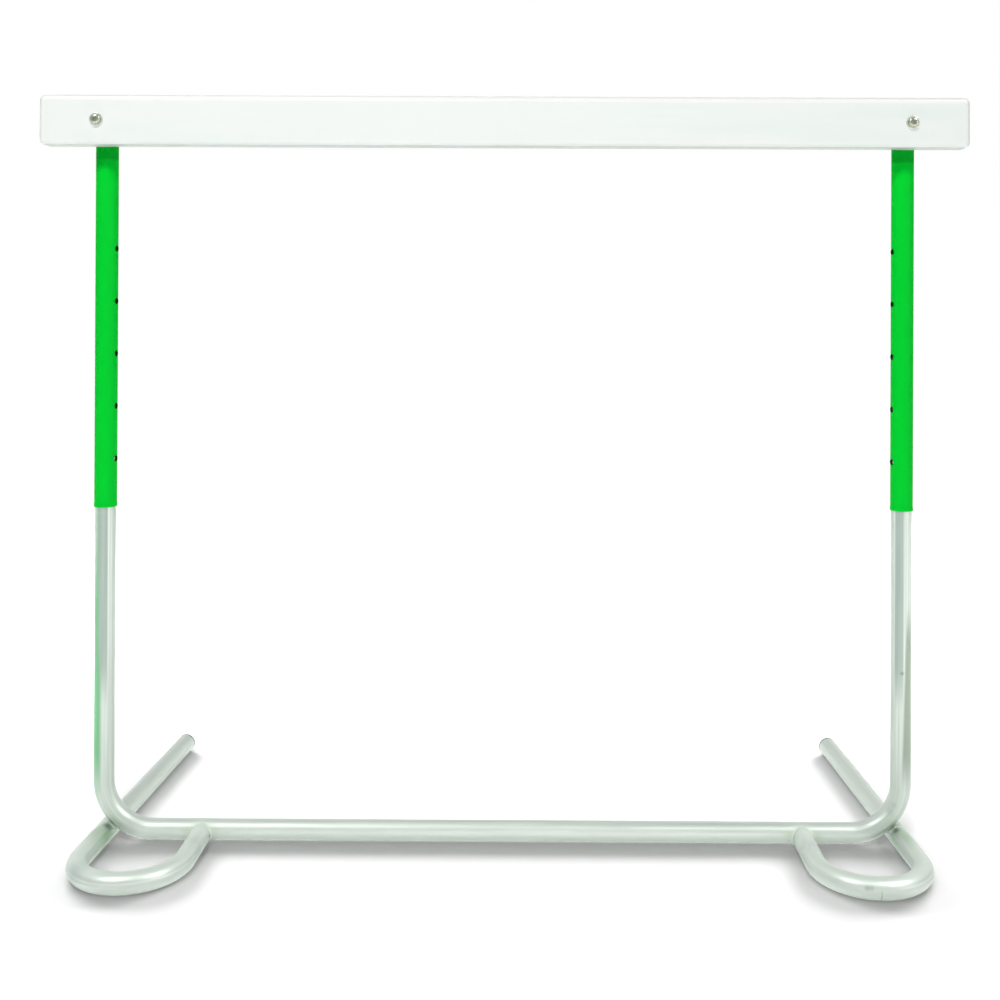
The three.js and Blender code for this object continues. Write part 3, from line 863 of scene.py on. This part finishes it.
def makeCornerWeld(name, side, end):
    # A short bead in the groove between a leg and the corner bend that rests on it
    line = footLine(side)
    share = (uprightY - line[2].y) / (line[3].y - line[2].y)
    axis = line[2].lerp(line[3], share)
    corner = Vector((side * (uprightX - bendRadius), uprightY, crossbarZ + bendRadius))
    normal = (corner - axis).normalized()
    along = Vector((-normal.z, 0, normal.x))
    middle = axis + normal * tubeRadius + Vector((0, end * cornerWeld["offset"], 0))
    points = []
    steps = cornerWeld["steps"]
    for step in range(-steps, steps + 1):
        run = cornerWeld["halfLength"] * step / steps
        points.append(middle + along * run - normal * (run ** 2 / (4 * tubeRadius)))
    place = "Front" if end < 0 else "Rear"
    return makeWeld(name + "CornerWeld" + place, points, cornerWeld, 3 * side + end)


# Plugs, caps and buttons

plugShape = {
    **inMetres(wall=1.6, rib=0.6, fit=0.3, gap=0.3, endEdge=0.4, ribEdge=0.1, headEdge=0.35),
    "domeSteps": 10, "fillet": 4,
}
plugSizes = {"head": 2.98 * mm, "dome": 1.4 * mm, "shank": 14 * mm, "ribs": 3}
capSizes = {"head": 2.5 * mm, "dome": 1.2 * mm, "shank": 9 * mm, "ribs": 2}


def plugOutline(headRadius, bore, sizes):
    # Half a section of a plug, from the bottom of its hollow shank to the top of its dome
    head, rise, shank, ribs = sizes["head"], sizes["dome"], sizes["shank"], sizes["ribs"]
    rib, ribEdge = plugShape["rib"], plugShape["ribEdge"]
    core = bore - plugShape["fit"] - rib
    inside = core - plugShape["wall"]
    outline = [(0, 0), (inside, 0), (inside, -shank), (core, -shank, plugShape["endEdge"])]
    for place in range(ribs, 0, -1):
        height = -place * shank / (ribs + 1)
        outline += [(core, height - rib), (core + rib, height, ribEdge), (core, height + ribEdge)]
    outline += [(core, 0), (headRadius, 0, plugShape["headEdge"]), (headRadius, head - rise)]
    outline += [*dome(headRadius, head, rise, plugShape["domeSteps"]), (0, head)]
    return rounded(outline, plugShape["fillet"])


def makeFootPlug(name, side):
    line = footLine(side)
    direction = (line[3] - line[2]).normalized()
    outline = plugOutline(tubeRadius, tubeRadius - tubeStock["wall"], plugSizes)
    place = line[3] + direction * plugShape["gap"]
    plug = turned(name + "FootPlug", outline, place, direction, blackPlastic)
    return dressed(frozen(plug), "base", "black_plastic", f"{name}_foot_plug")


buttonSizes = {
    **inMetres(pin=2.35, tip=9.55, pinLength=5.66, dome=0.9, flange=3.8, flangeThickness=1, peg=1.3,
               pegLength=0.8, edge=0.2, holeReach=14),
    "domeSteps": 8, "fillet": 4, "sides": 48,
}


def makeSnapButton(name, side):
    # Domed pin with a flange that stops it inside the upright, as it sits when pressed in
    sizes = buttonSizes
    pin, tip, rise, edge = sizes["pin"], sizes["tip"], sizes["dome"], sizes["edge"]
    flange = tip - sizes["pinLength"]
    flangeBack = flange - sizes["flangeThickness"]
    pegEnd = flangeBack - sizes["pegLength"]
    outline = rounded([
        (0, pegEnd), (sizes["peg"], pegEnd, edge), (sizes["peg"], flangeBack),
        (sizes["flange"], flangeBack, edge), (sizes["flange"], flange, edge), (pin, flange),
        (pin, tip - rise), *dome(pin, tip, rise, sizes["domeSteps"]), (0, tip),
    ], sizes["fillet"])
    place, direction = (side * uprightX, uprightY, buttonZ), holeDirection(side)
    button = turned(name + "SnapButton", outline, place, direction, springSteel, sizes["sides"])
    return dressed(frozen(button), name + "_button", "spring_steel", name + "_snap_button")


# Sleeves

sleeveSizes = {
    **inMetres(bore=9.75, wall=0.65, flare=0.3, flareLength=4, flareFillet=2, rim=0.3, topEdge=0.15,
               lip=0.4, drillReach=16),
    "fillet": 4, "sides": 96,
}
sleeveRadius = sleeveSizes["bore"] + sleeveSizes["wall"]


def makeSleeve(name, side):
    sizes = sleeveSizes
    bore, rim, topEdge, soft = sizes["bore"], sizes["rim"], sizes["topEdge"], sizes["flareFillet"]
    flared = sleeveRadius + sizes["flare"]
    low, high, flareTop = sleeveLow.z, sleeveHigh.z, sleeveLow.z + sizes["flareLength"]
    outline = rounded([
        (bore, low, rim), (flared, low, rim), (flared, (low + flareTop) / 2, soft),
        (sleeveRadius, flareTop, soft), (sleeveRadius, high, topEdge), (bore, high, topEdge),
    ], sizes["fillet"])
    place = (side * uprightX, uprightY, 0)
    sleeve = turned(name + "Sleeve", outline, place, upwards, greenCoat, sizes["sides"], ring=True)
    facing = holeDirection(side)
    shaped(sleeve, perforations, greenCoat, Axis=(side * uprightX, uprightY, buttonZ),
           Pitch=(0, 0, holeRow["pitch"]), Holes=holeRow["count"], HoleRadius=holeRow["radius"],
           Reach=sizes["drillReach"], LipRadius=sizes["lip"], LipPlace=sleeveRadius,
           Facing=atan2(facing.y, facing.x))
    return dressed(frozen(sleeve), "bar_carriage", "green_sleeve", name + "_sleeve")


def makeSleeveCap(name, side):
    outline = plugOutline(sleeveRadius, sleeveSizes["bore"], capSizes)
    place = (side * uprightX, uprightY, sleeveHigh.z + plugShape["gap"])
    cap = turned(name + "SleeveCap", outline, place, upwards, blackPlastic)
    return dressed(frozen(cap), "bar_carriage", "black_plastic", name + "_sleeve_cap")


# Bar

barSizes = {
    **inMetres(corner=5.5, edge=4.5, hole=2.8, overrun=5), "steps": 8, "holeSides": 40,
    "sharpAngle": 40,
}


def makeBar():
    # A board with rounded corners, then rounded all the way along its front and back edges
    shell = boxShell(barLow, barHigh)
    depth = barHigh.y - barLow.y
    through = [edge for edge in shell.edges if abs((edge.verts[0].co - edge.verts[1].co).y) > depth / 2]
    bmesh.ops.bevel(shell, geom=through, offset=barSizes["corner"], segments=barSizes["steps"],
                    profile=0.5, affect="EDGES")
    rims = []
    for edge in shell.edges:
        depths = [vertex.co.y for vertex in edge.verts]
        if any(max(abs(y - face) for y in depths) < depth / 1000 for face in (barLow.y, barHigh.y)):
            rims.append(edge)
    bmesh.ops.bevel(shell, geom=rims, offset=barSizes["edge"], segments=barSizes["steps"],
                    profile=0.5, affect="EDGES")
    bmesh.ops.recalc_face_normals(shell, faces=shell.faces)
    bar = newPiece("bar", meshOf(shell, "bar"), whiteBoard)
    overrun = barSizes["overrun"]
    outline = rod(barSizes["hole"], -overrun, depth + overrun)
    bits = []
    for side in sides.values():
        place = (side * uprightX, barLow.y, screwZ)
        bits.append(turned("barHoleBit", outline, place, backwards, around=barSizes["holeSides"]))
    cutOut(bar, *bits, sharpAngle=barSizes["sharpAngle"])
    return dressed(bar, "bar_carriage", "bar_board", "hurdle_bar")


# Screws, washers and nuts: each is made in the middle, and the row sets one on each upright

screwSizes = {
    **inMetres(shank=2.5, shankEdge=0.6, head=4.7, headHeight=3, headEdge=1.1, headFillet=0.15,
               recess=4.8, slot=1.2, recessDepth=1.7, overrun=1),
    "flatShare": 0.35, "domeSteps": 8, "sides": 64,
}
washerSizes = {
    **inMetres(front=6.25, rear=5, thickness=1, bore=2.8, gap=0.3, boreEdge=0.1, rimEdge=0.25),
    "sides": 72,
}
nutSizes = {
    **inMetres(flat=4, height=4, bore=2.8, overrun=4, collar=3.6, collarHeight=1.2, collarEdge=0.5,
               ringEdge=0.15),
    "boreSides": 48, "turnedSides": 72, "sides": 64,
}
fastenerFillet = 4


def setInRow(piece, finish, slotName, *nodes):
    first, step = (-uprightX, 0.0, 0.0), (2 * uprightX, 0.0, 0.0)
    shaped(piece, fastenerRow, finish, First=first, Step=step, Count=len(sides))
    return dressed(frozen(piece), "bar_carriage", slotName, *nodes)


def makeScrews():
    sizes = screwSizes
    shank, head, height = sizes["shank"], sizes["head"], sizes["headHeight"]
    headBack = screwLow.y + height
    length = screwHigh.y - headBack
    flat = sizes["flatShare"] * head
    rise = height - sizes["headEdge"]
    seat = (0, headBack, screwZ)
    outline = rounded([
        (0, -length), (shank, -length, sizes["shankEdge"]), (shank, 0), (head, 0, sizes["headFillet"]),
        (head, sizes["headEdge"]), *dome(head, height, rise, sizes["domeSteps"], flat),
        (flat, height), (0, height),
    ], fastenerFillet)
    screw = turned("barScrews", outline, seat, forwards, plated, sizes["sides"])
    bits = []
    for turn in (pi / 4, -pi / 4):
        half = Vector((sizes["recess"] / 2, sizes["slot"] / 2))
        shell = boxShell((*-half, height - sizes["recessDepth"]), (*half, height + sizes["overrun"]))
        shell.transform(Matrix.Rotation(turn, 4, "Z"))
        bits.append(newPiece("recessBit", standing(meshOf(shell, "recessBit"), seat, forwards)))
    return setInRow(cutOut(screw, *bits), plated, "fastener_nickel", "left_bar_screw", "right_bar_screw")


def makeWashers(name, radius, backY, direction, *nodes):
    bore, thickness = washerSizes["bore"], washerSizes["thickness"]
    boreEdge, rimEdge = washerSizes["boreEdge"], washerSizes["rimEdge"]
    outline = rounded([
        (bore, 0, boreEdge), (radius, 0, rimEdge),
        (radius, thickness, rimEdge), (bore, thickness, boreEdge),
    ], fastenerFillet)
    seat = (0, backY, screwZ)
    washer = turned(name, outline, seat, direction, plated, washerSizes["sides"], ring=True)
    return setInRow(washer, plated, "fastener_nickel", *nodes)


def makeNuts():
    # A hexagon turned down at its corners, and the nylon ring in its collar
    sizes = nutSizes
    flat, height, bore, collar = sizes["flat"], sizes["height"], sizes["bore"], sizes["collar"]
    seat = Vector((0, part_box("right_bar_nut")[0].y, screwZ))
    corner = flat / cos(pi / 6)
    chamfer = corner - flat
    nut = turned("barNuts", rod(corner, 0, height), seat, backwards, plated, 6, turn=pi / 6)
    turning = turned("nutTurning", [
        (0, 0), (flat, 0), (corner + chamfer, chamfer), (corner + chamfer, height - chamfer),
        (flat, height), (0, height),
    ], seat, backwards, around=sizes["turnedSides"])
    drill = rod(bore, -sizes["overrun"], height + sizes["overrun"])
    bit = turned("nutBit", drill, seat, backwards, around=sizes["boreSides"])
    cutBy(nut, turning, "INTERSECT")
    cutOut(nut, bit)
    bpy.data.objects.remove(turning)
    setInRow(nut, plated, "fastener_nickel", "left_bar_nut", "right_bar_nut")
    top = height + sizes["collarHeight"]
    outline = rounded([
        (bore, height), (collar, height), (collar, top, sizes["collarEdge"]),
        (bore, top, sizes["ringEdge"]),
    ], fastenerFillet)
    ring = turned("nutCollars", outline, seat, backwards, nylon, sizes["sides"], ring=True)
    return setInRow(ring, nylon, "black_plastic")


makeFrameTube()
for sideName, sideSign in sides.items():
    makeFoot(sideName, sideSign)
    makeNoseWeld(sideName, sideSign)
    for weldEnd in (-1, 1):
        makeCornerWeld(sideName, sideSign, weldEnd)
    makeFootPlug(sideName, sideSign)
    makeSnapButton(sideName, sideSign)
    makeSleeve(sideName, sideSign)
    makeSleeveCap(sideName, sideSign)
    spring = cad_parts[sideName + "_button_spring"]
    spring.data.materials.clear()
    spring.data.materials.append(springSteel)
print("tubes, feet and sleeves made")
makeBar()
makeScrews()
makeWashers("frontWashers", washerSizes["front"], barLow.y - washerSizes["gap"], forwards,
            "left_front_washer", "right_front_washer")
makeWashers("rearWashers", washerSizes["rear"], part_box("right_rear_washer")[0].y, backwards,
            "left_rear_washer", "right_rear_washer")
makeNuts()
print("bar and fasteners made")


# Studio: floor, world, lights and camera

# Openness runs from 0, wholly shut in, to 1. The paper is lit within half widths of litX and litY
# The contact and closed greys are painted shade on the paper, and the fill is a painted glow
floorLook = {
    "half": 12.0, "colour": 0.81, "contact": 0.5, "closed": 0.08, "fill": 0.26, "reach": 45 * mm,
    "samples": 12, "contactOpenness": (0.4, 1.0), "closedOpenness": (0.08, 0.5),
    "litX": 0.46, "litY": 0.21, "fade": 0.3,
}


def grey(level):
    return (level, level, level, 1)


def makeFloor():
    # White paper with the hurdle's shadows and painted shade where it is shut in, running out into plain
    # white round it
    look = floorLook
    corners = [(x * look["half"], y * look["half"], 0) for x, y in ((-1, -1), (1, -1), (1, 1), (-1, 1))]
    mesh = bpy.data.meshes.new("floor")
    mesh.from_pydata(corners, [], [(0, 1, 2, 3)])
    material = bpy.data.materials.new("floorPaper")
    tree = emptyTree(material)
    reach = {"Distance": look["reach"]}
    openness = tree.node("ShaderNodeAmbientOcclusion", reach, "AO", samples=look["samples"])
    rays = tree.node("ShaderNodeLightPath", output="Is Camera Ray")
    # Painted shade: the paper that the camera sees is darker where it is shut in
    shut = rays * (1 - tree.rising(openness, *look["contactOpenness"]))
    closed = rays * (1 - tree.rising(openness, *look["closedOpenness"]))
    shade = tree.mixed(shut, grey(look["colour"]), grey(look["contact"]))
    shade = tree.mixed(closed, shade, grey(look["closed"]))
    paper = tree.node("ShaderNodeBsdfDiffuse", {"Color": shade})
    x = tree.axis(tree.place(), "X")
    outX = x.maths("ABSOLUTE", x) - look["litX"]
    outY = x.maths("ABSOLUTE", x.other("Y")) - look["litY"]
    away = tree.rising(x.maths("MAXIMUM", outX, outY), 0, look["fade"])
    seen = (rays + rays.other("Is Glossy Ray") + rays.other("Is Transmission Ray")).clamped()
    # The glow turns the paper plain white away from the hurdle and is a painted fill light in the most
    # shut-in spots
    glow = tree.node("ShaderNodeEmission", {"Strength": seen * away + look["fill"] * closed})
    both = tree.node("ShaderNodeAddShader", {0: paper, 1: glow})
    tree.node("ShaderNodeOutputMaterial", {"Surface": both})
    floor = newPiece("floor", mesh, material)
    return floor


worldLook = {"shine": 0.65, "matt": 0.04}


def makeWorld():
    # White to the camera, a little softer in the metal, and only a faint light on matt faces
    world = bpy.data.worlds.new("studio")
    bpy.context.scene.world = world
    tree = emptyTree(world)
    camera = tree.node("ShaderNodeLightPath", output="Is Camera Ray")
    shine = (camera.other("Is Glossy Ray") + camera.other("Is Transmission Ray")).clamped()
    strength = camera + worldLook["shine"] * shine + worldLook["matt"] * (1 - camera - shine)
    background = tree.node("ShaderNodeBackground", {"Color": grey(1), "Strength": strength})
    tree.node("ShaderNodeOutputWorld", {"Surface": background})


def makeLight(name, place, aim, width, height, watts, spread, shows):
    # A matt lamp isn't mirrored in the metal, a shine lamp is seen in the metal alone, and a floor
    # lamp lights the floor alone, where the hurdle still casts its shadow
    lamp = bpy.data.lights.new(name, "AREA")
    lamp.shape = "RECTANGLE"
    lamp.size = width
    lamp.size_y = height
    lamp.energy = watts
    lamp.spread = radians(spread)
    light = bpy.data.objects.new(name, lamp)
    light.location = place
    light.rotation_euler = (Vector(aim) - Vector(place)).to_track_quat("-Z", "Y").to_euler()
    light.visible_camera = False
    light.visible_glossy = shows == "shine"
    light.visible_diffuse = shows != "shine"
    if shows == "floor":
        light.light_linking.receiver_collection = floorOnly
    elif shows == "shine":
        lamp.cycles.max_bounces = 0
    bpy.context.scene.collection.objects.link(light)


studio = [
    # name, place, aim, width, height, watts, spread, shows
    ("leftFloorWing", (-1.65, 1.4, 0.75), (-0.78, 0, 0), 1.6, 1.0, 14, 76, "floor"),
    ("rightFloorWing", (1.65, 1.4, 0.75), (0.78, 0, 0), 1.6, 1.0, 14, 76, "floor"),
    ("leftWing", (-1.65, 1.4, 1.1), (-0.78, 0, 0), 1.6, 1.0, 7, 76, "matt"),
    ("rightWing", (1.65, 1.4, 1.1), (0.78, 0, 0), 1.6, 1.0, 7, 76, "matt"),
    ("frontKey", (-0.3, -1.75, 2.45), (0, -0.06, 0.4), 0.8, 0.45, 42, 180, "matt"),
    ("lowFill", (0, -2.6, 0.5), (0, -0.06, 0.4), 2.4, 0.5, 12.5, 180, "matt"),
    ("leftSoftbox", (-1.05, -1.2, 2.3), (-0.1, -0.06, 0), 0.6, 1.1, 30, 180, "shine"),
    ("rightSoftbox", (1.55, -0.95, 2.1), (0.2, -0.06, 0), 0.6, 0.8, 40, 180, "shine"),
    ("rightStrip", (1.7, -1.05, 0.6), (-0.4, -0.06, 0.2), 1.0, 1.2, 6, 180, "shine"),
]

cameraSizes = {
    "place": (0.0269, -1.2055, 0.508), "pitch": 0.0031, "roll": 0.0045, "yaw": 0.0038,
    "lens": 43.2, "shiftX": -0.0275, "shiftY": -0.1935,
}


def makeCamera():
    # Level and square to the hurdle but for a hair, with the horizon high up in the picture
    lens = bpy.data.cameras.new("camera")
    lens.lens = cameraSizes["lens"]
    lens.shift_x = cameraSizes["shiftX"]
    lens.shift_y = cameraSizes["shiftY"]
    camera = bpy.data.objects.new("camera", lens)
    camera.location = cameraSizes["place"]
    camera.rotation_euler = (pi / 2 + cameraSizes["pitch"], -cameraSizes["roll"], cameraSizes["yaw"])
    bpy.context.scene.collection.objects.link(camera)
    bpy.context.scene.camera = camera


floorOnly = bpy.data.collections.new("floorOnly")
floorOnly.objects.link(makeFloor())
makeWorld()
for lightFacts in studio:
    makeLight(*lightFacts)
makeCamera()
bpy.context.scene.view_settings.view_transform = "Standard"
print("studio set")
